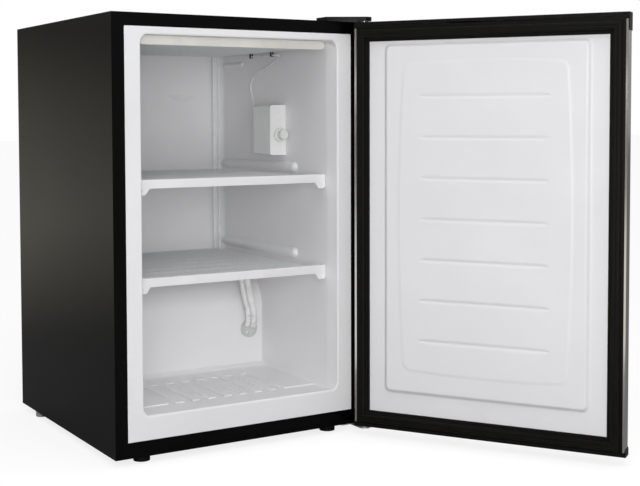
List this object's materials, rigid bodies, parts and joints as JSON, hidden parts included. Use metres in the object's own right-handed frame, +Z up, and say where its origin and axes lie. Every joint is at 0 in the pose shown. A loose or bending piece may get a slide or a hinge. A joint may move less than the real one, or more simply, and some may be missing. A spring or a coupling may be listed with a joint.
{
  "type": "upright freezer",
  "caption": "Compact upright freezer with a front door on a pin hinge, evaporator shelves, a thermostat knob and levelling feet.",
  "frame": {"origin": "on the floor, under the middle of the cabinet's footprint without its door", "axes": "+Z up; -Y towards the front opening; +Y to the back; +X to the hinge side, the right as seen from the front"},
  "size_m": [0.834, 1.0389, 0.852],
  "materials": {
    "black_steel": "gloss",
    "zinc_steel": "satin",
    "liner_plastic": "satin",
    "foam": "matte",
    "condenser_tube": "satin",
    "compressor_paint": "satin",
    "rubber_black": "matte",
    "plastic_black": "satin",
    "copper_pipe": "satin",
    "coated_tube": "satin",
    "coated_wire": "satin",
    "trim_white": "gloss",
    "trim_cream": "satin",
    "sleeve_white": "satin",
    "grommet_grey": "satin",
    "box_white": "satin",
    "knob_white": "gloss",
    "shaft_brass": "satin",
    "foot_grey": "satin",
    "stainless": "satin",
    "magnet_strip": "matte",
    "bush_plastic": "satin"
  },
  "bodies": {
    "cabinet": {"cabinet_shell": "black_steel", "front_rail": "black_steel", "base_pan": "zinc_steel", "back_panel": "black_steel", "inner_liner": "liner_plastic", "insulation_foam": "foam", "condenser_coils": "condenser_tube", "compressor_tray": "zinc_steel", "compressor_can": "compressor_paint", "compressor_bracket": "compressor_paint", "compressor_grommets": "rubber_black", "grommet_bolts": "zinc_steel", "terminal_cover": "plastic_black", "filter_drier": "copper_pipe", "discharge_line": "copper_pipe", "suction_line": "copper_pipe", "capillary_tube": "copper_pipe", "cord_gland": "plastic_black", "top_evaporator_tube": "coated_tube", "top_evaporator_wires": "coated_wire", "top_evaporator_trim": "trim_cream", "upper_shelf_tube": "coated_tube", "upper_shelf_wires": "coated_wire", "upper_shelf_trim": "trim_white", "lower_shelf_tube": "coated_tube", "lower_shelf_wires": "coated_wire", "lower_shelf_trim": "trim_white", "shelf_clips": "box_white", "evaporator_risers": "coated_tube", "pipe_sleeves": "sleeve_white", "wall_grommet": "grommet_grey", "thermostat_housing": "box_white", "thermostat_switch": "zinc_steel", "thermostat_screws": "box_white", "sensor_tube": "sleeve_white", "sensor_clips": "plastic_black", "top_hinge_plate": "zinc_steel", "top_hinge_pin": "zinc_steel", "top_hinge_cover": "plastic_black", "bottom_hinge_plate": "zinc_steel", "bottom_hinge_pin": "zinc_steel", "hinge_screws": "zinc_steel", "rail_screws": "black_steel", "panel_screws": "zinc_steel", "rear_feet": "foot_grey", "foot_nuts": "zinc_steel"},
    "door": {"door_skin": "stainless", "door_foam": "foam", "door_liner": "liner_plastic", "door_gasket": "rubber_black", "door_magnets": "magnet_strip", "door_top_cap": "plastic_black", "door_bottom_cap": "plastic_black", "door_bushes": "bush_plastic"},
    "knob": {"thermostat_shaft": "shaft_brass", "thermostat_knob": "knob_white"},
    "left_foot": {"front_foot_left": "plastic_black"},
    "right_foot": {"front_foot_right": "plastic_black"}
  },
  "joints": [
    {"name": "door_hinge", "type": "hinge", "parent": "cabinet", "child": "door", "pos_m": [0.261, -0.302, 0.43], "axis": [0, 0, 1], "range_deg": [-122, 13]},
    {"name": "thermostat_turn", "type": "hinge", "parent": "cabinet", "child": "knob", "pos_m": [0.191, -0.08, 0.612], "axis": [0, -1, 0], "range_deg": [-140, 140]},
    {"name": "left_foot_height", "type": "slide", "parent": "cabinet", "child": "left_foot", "axis": [0, 0, -1], "range_m": [0, 0.01]},
    {"name": "right_foot_height", "type": "slide", "parent": "cabinet", "child": "right_foot", "axis": [0, 0, -1], "range_m": [0, 0.01]}
  ]
}
